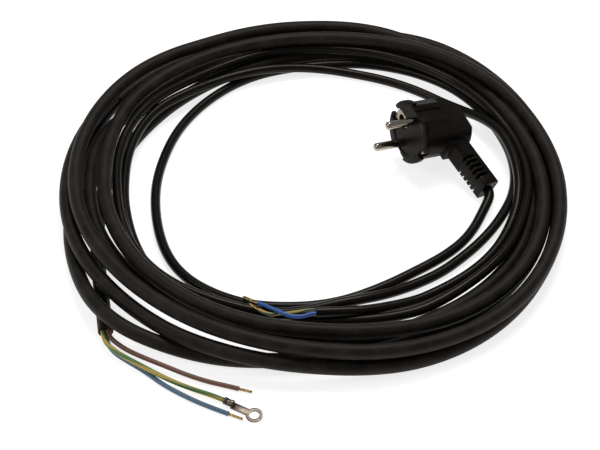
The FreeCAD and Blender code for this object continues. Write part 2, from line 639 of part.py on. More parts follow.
# Crimps on the pins' roots, then the cord held in the relief and its cores up to the crimps.
crimps, crimp_ends = [], {}
crimp_top = size("pin_root_length")
for name, x, y, top in (
        ("plug_crimp_line", -size("pin_pitch") / 2, 0, crimp_top),
        ("plug_crimp_neutral", size("pin_pitch") / 2, 0, crimp_top),
        ("plug_crimp_earth", 0, 0, size("carrier_sink") + size("carrier_thick") + size("earth_plate_thick"))):
    crimps.append(plug_cylinder(name, x, y, top, "Sizes.crimp_dia", "Sizes.crimp_length"))
    crimp_ends[name] = V(x, y, -top - size("crimp_length"))

exit_local = V(0, 0, -neck_depth) + along_relief * size("neck_end")
EXIT = PLUG_POSE.multVec(exit_local)
EXIT_WAY = PLUG_POSE.Rotation.multVec(along_relief)
held = rod("plug_held_cord", EXIT, -EXIT_WAY, size("cord_in_plug"), "pvc_dia")
bind(held, "Height", "Sizes.cord_in_plug")
inner_end = exit_local - along_relief * size("cord_in_plug")
plug_cores = []
# The cores leave the held cord's end at three angles, fan out, then rise into the crimps.
for colour, name, angle, fan_y in (("brown", "plug_crimp_line", 150, 10.0), ("blue", "plug_crimp_neutral", 30, 10.0),
                                   ("earth", "plug_crimp_earth", 270, 13.0)):
    turn, goal = math.radians(angle), crimp_ends[name]
    seat = inner_end + V(math.cos(turn), 0, math.sin(turn)) * size("pvc_core_offset")
    local = [seat, seat - along_relief * size("plug_core_run"),
             V(goal.x * 0.7 + seat.x * 0.3, fan_y, goal.z - size("plug_core_sag")),
             V(goal.x, goal.y + size("plug_core_turn"), goal.z - size("plug_core_sag")), goal]
    core = "plug_core_" + colour
    plug_cores.append(tube(core, route_edges(core, [PLUG_POSE.multVec(point) for point in local]), "pvc_core_dia"))

face_hollow = plug_cylinder("face_hollow", 0, 0, -1, "Sizes.carrier_dia", "Sizes.carrier_sink + 1")
filling = fused("plug_filling", [insert_round, face_hollow, window, strip, sleeve_way, held] + crimps + plug_cores
                + [pins["plug_pin_line"], pins["plug_pin_neutral"]])
overmould = cut("plug_overmould", mould, filling)
doc.recompute()
nodes += [overmould, insert, pins["plug_pin_line"], pins["plug_pin_neutral"], strip, sleeve, held]
nodes += crimps + plug_cores

# Lead from the plug to the coil.
joint, way = end_of(pvc_path, last=False)
route = [EXIT, EXIT + EXIT_WAY * PLUG_EXIT_RUN] + placed(LEAD_FROM_PLUG) + [joint + way * LEAD_LAST_RUN, joint]
nodes.append(tube("pvc_cord_lead", route_edges("pvc_cord_lead", route), "pvc_dia"))

# Ring terminal, flat on the barrel's underside. Its +X runs on from the earth core.
tip, way = rubber_tips["earth"]
TERMINAL_POSE = FreeCAD.Placement(tip, FreeCAD.Rotation(way, V(), V(0, 0, 1), "XZY"))
terminal = new_body("ring_terminal", TERMINAL_POSE)
barrel = new_sketch(terminal, "barrel_section", "YZ_Plane")
add_circle(barrel, "0", "0", "Sizes.barrel_dia")
add_circle(barrel, "0", "0", "Sizes.barrel_dia - Sizes.barrel_wall * 2")
feature(terminal, "Pad", "barrel", barrel, "Sizes.barrel_length")
SHEET_AT = FreeCAD.Placement(V(0, 0, -size("barrel_dia") / 2), FreeCAD.Rotation())
tongue = new_sketch(terminal, "tongue_outline", offset=SHEET_AT)
add_box(tongue, "Sizes.barrel_length - Sizes.ring_thick", "-Sizes.ring_neck_width / 2",
        "Sizes.barrel_length + Sizes.ring_reach", "Sizes.ring_neck_width / 2")
feature(terminal, "Pad", "tongue", tongue, "Sizes.ring_thick")
ring = new_sketch(terminal, "ring_outline", offset=SHEET_AT)
add_circle(ring, "Sizes.barrel_length + Sizes.ring_reach", "0", "Sizes.ring_outer_dia")
feature(terminal, "Pad", "ring", ring, "Sizes.ring_thick")
screw = new_sketch(terminal, "screw_hole", offset=SHEET_AT)
add_circle(screw, "Sizes.barrel_length + Sizes.ring_reach", "0", "Sizes.ring_hole_dia")
feature(terminal, "Pocket", "screw_hole_cut", screw, "Sizes.ring_thick * 4", both=True)
nodes.append(terminal)

doc.recompute()
for piece in doc.Objects:
    if "Invalid" in piece.State or "Error" in piece.State:
        raise RuntimeError(piece.Name + " failed: " + ", ".join(piece.State))
for node in nodes:
    shape = node.Shape
    if shape.isNull() or not shape.isValid() or len(shape.Solids) != 1:
        raise RuntimeError(node.Label + " is not one valid solid")
for node in nodes:
    node.Shape.exportStep("parts/%s.step" % node.Label)
print(len(nodes), "sub-parts written")
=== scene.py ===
import bmesh, bpy, math
from mathutils import Matrix, Vector


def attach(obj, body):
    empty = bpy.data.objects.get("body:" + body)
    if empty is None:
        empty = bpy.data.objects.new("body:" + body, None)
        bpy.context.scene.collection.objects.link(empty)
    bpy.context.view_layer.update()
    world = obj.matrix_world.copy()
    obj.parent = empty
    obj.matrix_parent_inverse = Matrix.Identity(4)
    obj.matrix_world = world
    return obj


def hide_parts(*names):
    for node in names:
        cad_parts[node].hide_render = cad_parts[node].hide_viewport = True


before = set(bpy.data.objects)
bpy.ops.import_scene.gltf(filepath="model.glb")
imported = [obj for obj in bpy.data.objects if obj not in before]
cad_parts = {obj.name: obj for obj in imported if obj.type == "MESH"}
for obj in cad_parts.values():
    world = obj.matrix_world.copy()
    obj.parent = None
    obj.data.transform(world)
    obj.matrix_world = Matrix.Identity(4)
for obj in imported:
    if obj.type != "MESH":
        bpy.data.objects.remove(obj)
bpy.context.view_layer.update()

bpy.ops.object.select_all(action="DESELECT")

# --- Camera -------------------------------------------------------------------------------------
# Looks down on the coil from the front at 44 degrees, with a long lens.
view_from, view_at = Vector((-0.0088, -0.59397, 0.55573)), Vector((-0.0088, -0.0185, 0.0))
bpy.ops.object.camera_add(
    location=view_from, rotation=(view_at - view_from).to_track_quat("-Z", "Y").to_euler())
camera = bpy.context.object
camera.data.sensor_width = 36.0
camera.data.lens = 86.4
bpy.context.scene.camera = camera

# --- Rubber cable -------------------------------------------------------------------------------
# Three-core site cable in a thick matt rubber sheath, 8 mm across. It is wound by hand into loose
# loops that differ in size and climb over each other; dust sticks to the rubber.
RUBBER_DIA = 0.008
COIL_MIDDLE = Vector((-0.0013, 0.0085, 0.0))
# Each row: angle round the coil in degrees, radius and height of the underside in millimetres.
rubber_loops = [
    (150, 137.4, 9.6), (180, 137.8, 9.6), (200, 138.3, 9.5), (225, 137.8, 9.3), (240, 138.9, 9.5),
    (252, 138, 8.6), (258, 138.1, 8.1), (265, 138.1, 7.2), (270, 137.8, 5.9), (275, 137.8, 4.6),
    (280, 138.5, 3), (285, 139.2, 1.5), (295, 140.5, 0.3), (305, 140.8, 0), (315, 140.5, 0),
    (330, 138.6, 0), (345, 138, 0), (360, 137.9, 0), (375, 139.4, 0), (390, 143.3, 1.4),
    (405, 146.6, 2.6), (413, 148.6, 2.6), (420, 149.8, 2.3), (428, 150, 1), (435, 147, 0),
    (442, 143.4, 0), (450, 141.6, 0), (465, 142.4, 0), (480, 142.6, 0), (495, 142, 0),
    (510, 140.4, 0), (518, 138.6, 0), (525, 136.6, 0), (533, 135.2, 0), (540, 134.7, 0.1),
    (548, 136, 0.5), (555, 138.1, 1), (570, 144, 2.2), (577, 147.7, 5.6), (583, 150, 8.2),
    (590, 150.2, 8.6), (595, 146.6, 5.6), (600, 142, 2.3), (605, 138.9, 0.7), (610, 136.2, 0.1),
    (615, 133.5, 0), (620, 130.9, 0), (625, 128.9, 0), (630, 128.7, 0), (640, 127.6, 0),
    (655, 127.2, 0), (675, 128.4, 0), (690, 129.5, 0), (705, 129.9, 0), (720, 130.6, 0),
    (735, 131.4, 0), (750, 134.4, 0), (760, 137.3, 0), (767, 138.9, 0.6), (773, 139.9, 2.4),
    (780, 141, 4.8), (788, 142.3, 6.8), (795, 142.5, 8.1), (802, 140.7, 8.9), (810, 138.9, 9.6),
    (825, 134.7, 12.4), (840, 130.9, 15), (855, 132.7, 17.2), (870, 133.3, 18), (885, 132.8, 18),
    (900, 132.5, 17.6), (915, 132.2, 17.4), (930, 131.3, 17.2), (945, 130.7, 17),
    (960, 131.1, 16.4), (975, 132.1, 15.6), (990, 134.1, 14.2), (1005, 137.6, 11.6),
    (1020, 139.7, 8.8), (1035, 141.4, 7.6), (1050, 140.3, 7.8), (1065, 138.4, 8.3),
    (1080, 137.2, 8.5), (1095, 136, 9.4), (1110, 134, 13.2), (1125, 131.3, 14.3),
    (1140, 129.1, 13.4), (1155, 124.9, 13.4), (1170, 122.6, 13), (1185, 121.9, 13),
    (1200, 122.3, 13), (1215, 122.3, 13.6), (1230, 121.8, 14.2), (1245, 118.6, 15.2),
    (1260, 116.4, 16.2), (1275, 117, 17), (1290, 118.2, 17.4), (1305, 120, 17.4), (1320, 121, 16.6),
    (1335, 121.4, 15.4), (1350, 121.3, 13.8), (1365, 123.6, 11.6), (1380, 127.4, 8.8),
    (1395, 130.2, 7.6), (1410, 131.1, 7.6), (1425, 129.7, 7.8), (1440, 127.9, 8.1),
    (1455, 127.4, 7.8), (1470, 127.8, 7.2), (1485, 132.2, 5.8), (1500, 132.8, 5.6),
    (1515, 132.6, 5.6), (1530, 131.8, 5.2), (1545, 129.4, 1.4), (1553, 128.3, 0.2),
    (1560, 127.7, 0), (1572, 126.6, 0), (1580, 127, 0), (1590, 127.4, 0.2), (1598, 129, 2.4),
    (1605, 129.3, 4.8), (1613, 127.2, 6.5), (1620, 125.6, 7.6), (1630, 125.2, 8.6),
    (1642, 124.9, 9), (1665, 123.4, 9), (1690, 122.2, 7), (1710, 120.6, 3.6), (1730, 118.2, 0.6),
    (1742, 118, 0.1), (1755, 119.8, 0), (1768, 121.4, 0), (1785, 122.4, 0), (1800, 123, 0),
    (1815, 123.5, 0), (1830, 124.2, 0), (1845, 126, 0), (1860, 126.5, 0), (1875, 126.2, 0),
    (1890, 121.6, 0), (1905, 117.2, 0), (1919, 114.2, 0), (1930, 112.4, 0), (1940, 111.7, 0),
    (1950, 111.5, 0), (1962, 112.8, 0), (1972, 115.2, 0.1), (1980, 117.6, 0.3),
]
# The free end leaves the loops at the lower left; points from the coil's middle in millimetres.
rubber_end = [
    (-119.6, -20.0, 4.3), (-118.4, -40.0, 4.05), (-115.8, -62.0, 4.1), (-111.3, -86.0, 4.05),
    (-107.0, -110.0, 4.05)]


def from_coil(points):
    """Points measured from the coil's middle in millimetres, as places in metres."""
    return [COIL_MIDDLE + Vector(point) / 1000 for point in points]


def loop_points(loops, low, step=10):
    """Control points every step degrees along rows of loops; low is half the cable's thickness."""
    found, last = [], len(loops) - 1
    way = 1 if loops[-1][0] > loops[0][0] else -1
    # A round curve runs inside its control points, by this factor.
    inside = math.cos(math.radians(step / 2))
    angle, i = loops[0][0], 0
    while (loops[-1][0] - angle) * way > -0.01:
        while i < last - 1 and (angle - loops[i + 1][0]) * way > 0:
            i += 1
        before, here, there, after = (loops[max(0, min(last, i + k))] for k in (-1, 0, 1, 2))
        span = there[0] - here[0]
        t = (angle - here[0]) / span
        values = []
        for k in (1, 2):
            go = (there[k] - before[k]) / (there[0] - before[0]) * span
            come = (after[k] - here[k]) / (after[0] - here[0]) * span
            values.append((2 * t ** 3 - 3 * t ** 2 + 1) * here[k]
                          + (t ** 3 - 2 * t ** 2 + t) * go
                          + (3 * t ** 2 - 2 * t ** 3) * there[k]
                          + (t ** 3 - t ** 2) * come)
        radius, height = values[0] / inside, max(values[1], 0.0)
        turn = math.radians(angle)
        found.append((radius * math.cos(turn), radius * math.sin(turn), low + height))
        angle += step * way
    return from_coil(found)


def cord_curve(name, points, diameter):
    """Round cord on one open spline whose control points are the route's points."""
    data = bpy.data.curves.new(name, "CURVE")
    data.dimensions = "3D"
    spline = data.splines.new("NURBS")
    spline.points.add(len(points) - 1)
    for spot, point in zip(spline.points, points):
        spot.co = (*point, 1.0)
    spline.order_u = 3
    spline.use_endpoint_u = True
    spline.resolution_u = 6
    data.bevel_depth = diameter / 2
    data.bevel_resolution = 6
    data.use_fill_caps = True
    piece = bpy.data.objects.new(name, data)
    bpy.context.collection.objects.link(piece)
    return piece


def group(name, inputs, outputs):
    """Shader node group with its sockets; returns the tree, its input node and its output node."""
    tree = bpy.data.node_groups.new(name, "ShaderNodeTree")
    for label, kind in inputs:
        tree.interface.new_socket(label, in_out="INPUT", socket_type="NodeSocket" + kind)
    for label, kind in outputs:
        tree.interface.new_socket(label, in_out="OUTPUT", socket_type="NodeSocket" + kind)
    return tree, tree.nodes.new("NodeGroupInput"), tree.nodes.new("NodeGroupOutput")


def add(tree, kind, **settings):
    """New node in a tree; a setting is a property of the node or the value of one of its inputs."""
    node = tree.nodes.new("ShaderNode" + kind)
    for key, value in settings.items():
        if hasattr(node, key):
            setattr(node, key, value)
        else:
            node.inputs[key.replace("_", " ")].default_value = value
    return node


# Sheath skin: base colour with cloudy dust and fine grain. The dust also dulls the gloss.
DUST_DULLS = 0.35
MIX_A, MIX_B, MIX_RESULT = 6, 7, 2  # a Mix node's colour sockets
skin, skin_in, skin_out = group(
    "sheath_skin",
    [("Base", "Color"), ("Dust", "Color"), ("Amount", "Float"), ("Cloud", "Float"),
     ("Grain", "Float"), ("Rough", "Float")],
    [("Color", "Color"), ("Roughness", "Float"), ("Height", "Float")])
where = add(skin, "TexCoord")
cloud = add(skin, "TexNoise", Detail=6.0, Roughness=0.65)
grain = add(skin, "TexNoise", Detail=3.0, Roughness=0.6)
patches = add(skin, "MapRange", From_Min=0.42, From_Max=0.75)
speck = add(skin, "Math", operation="MULTIPLY")
share = add(skin, "Math", operation="MULTIPLY")
paint = add(skin, "Mix", data_type="RGBA")
duller = add(skin, "Math", operation="MULTIPLY_ADD")
duller.inputs[1].default_value = DUST_DULLS
for source, target in (
        (where.outputs["Object"], cloud.inputs["Vector"]),
        (where.outputs["Object"], grain.inputs["Vector"]),
        (skin_in.outputs["Cloud"], cloud.inputs["Scale"]),
        (skin_in.outputs["Grain"], grain.inputs["Scale"]),
        (cloud.outputs["Fac"], patches.inputs["Value"]),
        (patches.outputs["Result"], speck.inputs[0]),
        (grain.outputs["Fac"], speck.inputs[1]),
        (speck.outputs[0], share.inputs[0]),
        (skin_in.outputs["Amount"], share.inputs[1]),
        (share.outputs[0], paint.inputs["Factor"]),
        (skin_in.outputs["Base"], paint.inputs[MIX_A]),
        (skin_in.outputs["Dust"], paint.inputs[MIX_B]),
        (paint.outputs[MIX_RESULT], skin_out.inputs["Color"]),
        (share.outputs[0], duller.inputs[0]),
        (skin_in.outputs["Rough"], duller.inputs[2]),
        (duller.outputs[0], skin_out.inputs["Roughness"]),
        (grain.outputs["Fac"], skin_out.inputs["Height"])):
    skin.links.new(source, target)


def skin_material(name, base, dust, amount, cloud, grain, rough, bump, **shader):
    """Material on the sheath skin group; shader holds plain values for the Principled shader."""
    made = bpy.data.materials.new(name)
    made.use_nodes = True
    tree = made.node_tree
    surface = tree.nodes["Principled BSDF"]
    for key, value in shader.items():
        surface.inputs[key.replace("_", " ")].default_value = value
    cover = tree.nodes.new("ShaderNodeGroup")
    cover.node_tree = skin
    for key, value in (("Base", (*base, 1)), ("Dust", (*dust, 1)), ("Amount", amount),
                       ("Cloud", cloud), ("Grain", grain), ("Rough", rough)):
        cover.inputs[key].default_value = value
    relief = add(tree, "Bump", Strength=bump, Distance=0.0002)
    tree.links.new(cover.outputs["Color"], surface.inputs["Base Color"])
    tree.links.new(cover.outputs["Roughness"], surface.inputs["Roughness"])
    tree.links.new(cover.outputs["Height"], relief.inputs["Height"])
    tree.links.new(relief.outputs["Normal"], surface.inputs["Normal"])
    return made


WARM_SHEEN = (1.0, 0.90, 0.80, 1.0)
rubber = skin_material(
    "dusty_rubber", (0.0075, 0.0062, 0.0050), (0.062, 0.052, 0.042), amount=0.6, cloud=110.0,
    grain=1400.0, rough=0.52, bump=0.35, Specular_IOR_Level=0.2, Specular_Tint=WARM_SHEEN)
rubber_route = loop_points(rubber_loops, low=4.0) + from_coil(rubber_end)
rubber_cable = cord_curve("rubber_cable", rubber_route, RUBBER_DIA)
rubber_cable.data.materials.append(rubber)
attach(rubber_cable, "root")
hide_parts("rubber_cable_coil", "rubber_cable_end")

# --- Stripped cores -----------------------------------------------------------------------------
# Three cores with coloured insulation, 2.5 mm across, leave the cable's square cut. They keep the
# waves of their twist, lie on the floor and are bared at the tips.
CORE_DIA, CORE_OFFSET = 0.0025, 0.00164
# Each core's place round the cable's axis in degrees, and its points from the coil's middle.
core_places = {
    "brown": (30, [
        (-102.0, -117.0, 4.7), (-95.6, -122.2, 4.3), (-88.2, -126.2, 3.9), (-75.6, -132.0, 3.2),
        (-64.8, -136.9, 2.4), (-54.1, -140.9, 1.8), (-43.6, -143.6, 1.4), (-37.8, -145.3, 1.3)]),
    "earth": (150, [
        (-105.8, -118.3, 4.6), (-101.6, -122.6, 4.4), (-95.5, -127.2, 4.2), (-88.1, -132.0, 4.2),
        (-79.0, -138.0, 4.0), (-68.1, -143.3, 2.8), (-57.4, -147.6, 2.2), (-49.4, -150.6, 2.0),
        (-44.6, -153.2, 2.0)]),
    "blue": (270, [
        (-104.7, -117.9, 1.7), (-100.9, -122.6, 1.35), (-94.9, -127.2, 1.3), (-84.8, -134.5, 1.35),
        (-75.8, -142.5, 1.3), (-64.6, -150.0, 1.35), (-53.6, -156.0, 1.3), (-42.3, -161.1, 1.3)]),
}
core_lengths = {"brown": 0.079, "earth": 0.0795, "blue": 0.0847}
INSULATION_WEAR = {"cloud": 260.0, "grain": 2600.0}
core_finish = {
    "brown": skin_material("brown_insulation", (0.19, 0.085, 0.058), (0.16, 0.10, 0.075),
                           amount=0.8, rough=0.42, bump=0.2, **INSULATION_WEAR),
    "blue": skin_material("blue_insulation", (0.075, 0.15, 0.23), (0.16, 0.19, 0.21),
                          amount=0.8, rough=0.42, bump=0.2, **INSULATION_WEAR),
}


def striped_material(name, green, yellow, dust, turns):
    """Insulation with two green and two yellow stripes, lengthwise on the core's own UV map."""
    made = skin_material(name, yellow, dust, amount=0.7, rough=0.42, bump=0.2, **INSULATION_WEAR)
    tree = made.node_tree
    uv = add(tree, "UVMap", uv_map="around_along")
    parts = add(tree, "SeparateXYZ")
    lay = add(tree, "Math", operation="MULTIPLY_ADD")
    lay.inputs[1].default_value = turns
    wave = add(tree, "Math", operation="PINGPONG")
    wave.inputs[1].default_value = 0.25  # one stripe in each quarter of the round
    edge = add(tree, "MapRange", From_Min=0.115, From_Max=0.135)
    colours = add(tree, "Mix", data_type="RGBA")
    colours.inputs[MIX_A].default_value = (*green, 1)
    colours.inputs[MIX_B].default_value = (*yellow, 1)
    cover = next(node for node in tree.nodes if node.type == "GROUP")
    for source, target in (
            (uv.outputs["UV"], parts.inputs["Vector"]),
            (parts.outputs["Y"], lay.inputs[0]),
            (parts.outputs["X"], lay.inputs[2]),
            (lay.outputs[0], wave.inputs[0]),
            (wave.outputs[0], edge.inputs["Value"]),
            (edge.outputs["Result"], colours.inputs["Factor"]),
            (colours.outputs[MIX_RESULT], cover.inputs["Base"])):
        tree.links.new(source, target)
    return made


core_finish["earth"] = striped_material(
    "striped_insulation", (0.065, 0.19, 0.045), (0.52, 0.36, 0.05), (0.20, 0.20, 0.12), turns=1.1)


def core_route(end, way, offset, angle, points, diameter):
    """Route of a core leaving the cut at end; the angle starts at the side and turns upwards."""
    side = Vector((0, 0, 1)).cross(way).normalized()
    if side.x + side.y < 0:
        side = -side
    turn = math.radians(angle)
    seat = end + side * (offset * math.cos(turn)) + Vector((0, 0, offset * math.sin(turn)))
    return [seat, seat + way * diameter * 1.5] + from_coil(points)


def smooth_line(points):
    """Points along a route's smooth line, read from its spline as a curve without thickness."""
    line = cord_curve("line", points, 0.0)
    mesh = bpy.data.meshes.new_from_object(line)
    found = [vertex.co.copy() for vertex in mesh.vertices]
    data = line.data
    bpy.data.objects.remove(line)
    bpy.data.curves.remove(data)
    bpy.data.meshes.remove(mesh)
    return found


def striped_core(name, points, diameter, sides=20):
    """Round core as a mesh with a UV map, once round by once along; returns it with its line."""
    line = smooth_line(points)
    mesh = bpy.data.meshes.new(name)
    shape = bmesh.new()
    uv = shape.loops.layers.uv.new("around_along")
    across, rings = Vector((0, 0, 1)), []
    for i, place in enumerate(line):
        ahead = (line[min(i + 1, len(line) - 1)] - line[max(i - 1, 0)]).normalized()
        across = (across - ahead * across.dot(ahead)).normalized()
        other = ahead.cross(across)
        rings.append([shape.verts.new(place + (across * math.cos(math.tau * k / sides)
                                               + other * math.sin(math.tau * k / sides))
                                      * diameter / 2)
                      for k in range(sides)])
    for i in range(len(rings) - 1):
        for k in range(sides):
            after = (k + 1) % sides
            face = shape.faces.new((rings[i][k], rings[i][after],
                                    rings[i + 1][after], rings[i + 1][k]))
            face.smooth = True
            spots = ((k, i), (k + 1, i), (k + 1, i + 1), (k, i + 1))
            for loop, (u, v) in zip(face.loops, spots):
                loop[uv].uv = (u / sides, v / (len(rings) - 1))
    shape.faces.new(list(reversed(rings[0])))
    shape.faces.new(rings[-1])
    shape.to_mesh(mesh)
    shape.free()
    piece = bpy.data.objects.new(name, mesh)
    bpy.context.collection.objects.link(piece)
    return piece, line


def add_core(name, colour, points, diameter, finish):
    """Core in its colour, a curve or, if striped, a mesh; returns it and its line or None."""
    if colour == "earth":
        piece, line = striped_core(name, points, diameter)
    else:
        piece, line = cord_curve(name, points, diameter), None
    piece.data.materials.append(finish[colour])
    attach(piece, "root")
    return piece, line


cable_end = rubber_route[-1]
cable_way = (rubber_route[-1] - rubber_route[-2]).normalized()
rubber_cores, rubber_tips = {}, {}
for colour, (angle, points) in core_places.items():
    route = core_route(cable_end, cable_way, CORE_OFFSET, angle, points, CORE_DIA)
    piece, line = add_core("rubber_core_in_" + colour, colour, route, CORE_DIA, core_finish)
    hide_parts("rubber_core_" + colour)
    rubber_cores[colour] = (piece, line)
    rubber_tips[colour] = (route[-1], (route[-1] - route[-2]).normalized())

# --- Bare strands -------------------------------------------------------------------------------
# Each core's tip is stripped down to its copper: 19 fine wires in two layers round a middle one,
# twisted together and cut a little unevenly. The bundle is made 1 high and about 1 wide.
WIRE_RADIUS, WIRE_STEPS, TIP_ROUND, TIP_RISE = 0.1, 10, 0.03, 0.012
INNER_RADIUS, INNER_WIRES, OUTER_RADIUS, OUTER_WIRES = 0.2, 6, 0.395, 12
LAY_ANGLE = math.radians(150)
TIPS_FROM, TIPS_UNEVEN, TIPS_SPLAY = 0.95, 2, 0.5
bpy.ops.mesh.primitive_circle_add(
    vertices=8, radius=WIRE_RADIUS, fill_type="NGON", location=(0, 0, 0))
strands = bpy.context.object
bpy.ops.object.mode_set(mode="EDIT")
bpy.ops.mesh.select_all(action="SELECT")
for step in range(WIRE_STEPS):
    bpy.ops.mesh.extrude_region_move(TRANSFORM_OT_translate={"value": (0, 0, 1 / WIRE_STEPS)})
bpy.ops.mesh.inset(thickness=TIP_ROUND)
bpy.ops.transform.translate(value=(0, 0, TIP_RISE))
uneven = [0.0, 0.04, -0.05, 0.02, -0.02, 0.05, -0.06, 0.03, -0.03, 0.06, -0.08, 0.01, 0.05, -0.04,
          0.02, -0.07, 0.04, -0.01, 0.03]
layout = [(INNER_RADIUS, k / INNER_WIRES) for k in range(INNER_WIRES)]
layout += [(OUTER_RADIUS, (k + 0.5) / OUTER_WIRES) for k in range(OUTER_WIRES)]
bpy.ops.mesh.select_all(action="SELECT")
at = Vector((0, 0, 0))
for radius, turn in layout:
    place = Vector((radius * math.cos(math.tau * turn), radius * math.sin(math.tau * turn), 0))
    bpy.ops.mesh.duplicate_move(TRANSFORM_OT_translate={"value": place - at})
    at = place
bpy.ops.mesh.select_all(action="SELECT")
bpy.ops.mesh.normals_make_consistent(inside=False)
bpy.ops.object.mode_set(mode="OBJECT")
wire_vertices = len(strands.data.vertices) // len(uneven)
for vertex in strands.data.vertices:
    wire = vertex.index // wire_vertices
    if vertex.co.z > TIPS_FROM:
        vertex.co.z += uneven[wire] * TIPS_UNEVEN
        vertex.co.xy *= 1.0 + TIPS_SPLAY * abs(uneven[wire])
lay_twist = strands.modifiers.new("lay", "SIMPLE_DEFORM")
lay_twist.deform_method = "TWIST"
lay_twist.deform_axis = "Z"
lay_twist.angle = LAY_ANGLE
bpy.ops.object.modifier_apply(modifier=lay_twist.name)
bpy.ops.object.shade_smooth_by_angle(angle=math.radians(50))
strand_mesh = strands.data
bpy.data.objects.remove(strands)
copper = skin_material("bare_copper", (0.52, 0.35, 0.13), (0.20, 0.11, 0.05), amount=0.8,
                       cloud=700.0, grain=5000.0, rough=0.24, bump=0.1, Metallic=1.0)


def bare_strands(name, tip, way, length, diameter):
    """Twisted strands standing on a core's tip, in place of the solid of the same name."""
    piece = bpy.data.objects.new(name + "_strands", strand_mesh.copy())
    bpy.context.collection.objects.link(piece)
    stand = Matrix.Translation(tip) @ way.to_track_quat("Z", "Y").to_matrix().to_4x4()
    piece.data.transform(stand @ Matrix.Diagonal((diameter, diameter, length, 1.0)))
    piece.data.materials.append(copper)
    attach(piece, "root")
    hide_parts(name)
    return piece


STRAND_DIA = 0.0014
for colour, length in (("brown", 0.0062), ("earth", 0.0046), ("blue", 0.0070)):
    tip, way = rubber_tips[colour]
    bare_strands("rubber_copper_" + colour, tip, way, length, STRAND_DIA)

# --- Covered end --------------------------------------------------------------------------------
# The cable's other end lies under the loops at the back left: a square cut with the three cores
# standing out 9 mm, each cut flush with its copper.
COVERED_LENGTH = 0.009
covered_end = rubber_route[0]
covered_way = (rubber_route[0] - rubber_route[1]).normalized()
for colour, (angle, _) in core_places.items():
    seat = core_route(covered_end, covered_way, CORE_OFFSET, angle, [], CORE_DIA)[0]
    route = [seat, seat + covered_way * (COVERED_LENGTH / 2), seat + covered_way * COVERED_LENGTH]
    piece, _ = add_core("covered_core_in_" + colour, colour, route, CORE_DIA, core_finish)
    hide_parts("covered_core_" + colour)

# --- Ring terminal ------------------------------------------------------------------------------
# Tinned copper terminal for an M5 screw on the earth core: a barrel crimped onto the strands, a
# flat neck and a punched ring. It is made along X from the barrel's open end, then set on the tip.
BARREL_LENGTH, BARREL_DIA, BARREL_WALL = 0.0050, 0.0038, 0.0006
BARREL_CUTS = (0.0011, 0.0018, 0.0025, 0.0032, 0.0039)
CRIMP_FROM, CRIMP_TO, CRIMP_ABOVE, CRIMP_FLAT, CRIMP_SPREAD = 0.0015, 0.0035, 0.0002, 0.60, 1.04
SHEET, RING_AT, RING_RADIUS, RING_WIDTH = 0.0008, 0.0168, 0.0042, 0.00155
NECK_AT, NECK_LENGTH, NECK_WIDTH = 0.0088, 0.0092, 0.0032
NECK_NARROW, NECK_LIFT, NECK_FLARE = 0.75, 0.0001, 1.6
sheet_height = (SHEET - BARREL_DIA) / 2
bpy.ops.mesh.primitive_cylinder_add(
    vertices=32, radius=BARREL_DIA / 2, depth=BARREL_LENGTH, end_fill_type="NOTHING",
    location=(BARREL_LENGTH / 2, 0, 0), rotation=(0, math.pi / 2, 0))
barrel = bpy.context.object
bpy.ops.object.transform_apply(location=True, rotation=True)
bpy.ops.object.mode_set(mode="EDIT")
for place in BARREL_CUTS:
    bpy.ops.mesh.select_all(action="SELECT")
    bpy.ops.mesh.bisect(plane_co=(place, 0, 0), plane_no=(1, 0, 0))
bpy.ops.object.mode_set(mode="OBJECT")
for vertex in barrel.data.vertices:
    if CRIMP_FROM < vertex.co.x < CRIMP_TO and vertex.co.z > CRIMP_ABOVE:
        vertex.co.z *= CRIMP_FLAT
        vertex.co.y *= CRIMP_SPREAD
wall = barrel.modifiers.new("wall", "SOLIDIFY")
wall.thickness = BARREL_WALL
wall.offset = -1.0
bpy.ops.object.modifier_apply(modifier=wall.name)
bpy.ops.mesh.primitive_cylinder_add(
    vertices=48, radius=RING_RADIUS, depth=SHEET, location=(RING_AT, 0, sheet_height))
terminal = bpy.context.object
terminal.name = "crimped_ring_terminal"
bpy.ops.object.transform_apply(location=True)
bpy.context.tool_settings.mesh_select_mode = (False, False, True)
for face in terminal.data.polygons:
    face.select = abs(face.normal.z) > 0.9
bpy.ops.object.mode_set(mode="EDIT")
bpy.ops.mesh.inset(thickness=RING_WIDTH)
bpy.ops.mesh.bridge_edge_loops()
bpy.ops.object.mode_set(mode="OBJECT")
bpy.ops.mesh.primitive_cube_add(size=1.0, location=(NECK_AT, 0, sheet_height))
neck = bpy.context.object
neck.scale = (NECK_LENGTH, NECK_WIDTH, SHEET)
bpy.ops.object.transform_apply(location=True, scale=True)
for face in neck.data.polygons:
    face.select = face.normal.x < -0.9
bpy.ops.object.mode_set(mode="EDIT")
bpy.ops.transform.resize(value=(1, NECK_NARROW, 1))
bpy.ops.transform.translate(value=(0, 0, NECK_LIFT))
bpy.ops.object.mode_set(mode="OBJECT")
for face in neck.data.polygons:
    face.select = face.normal.x > 0.9
bpy.ops.object.mode_set(mode="EDIT")
bpy.ops.transform.resize(value=(1, NECK_FLARE, 1))
bpy.ops.object.mode_set(mode="OBJECT")
bpy.ops.object.select_all(action="DESELECT")
for piece in (barrel, neck, terminal):
    piece.select_set(True)
bpy.context.view_layer.objects.active = terminal
bpy.ops.object.join()
edge = terminal.modifiers.new("edge", "BEVEL")
edge.width = 0.00012
edge.segments = 2
edge.limit_method = "ANGLE"
edge.angle_limit = math.radians(50)
bpy.ops.object.modifier_apply(modifier=edge.name)
bpy.ops.object.shade_smooth_by_angle(angle=math.radians(40))
tip, way = rubber_tips["earth"]
across = Vector((0, 0, 1)).cross(way).normalized()
facing = Matrix((way, across, way.cross(across))).transposed().to_4x4()
terminal.data.transform(Matrix.Translation(tip) @ facing)
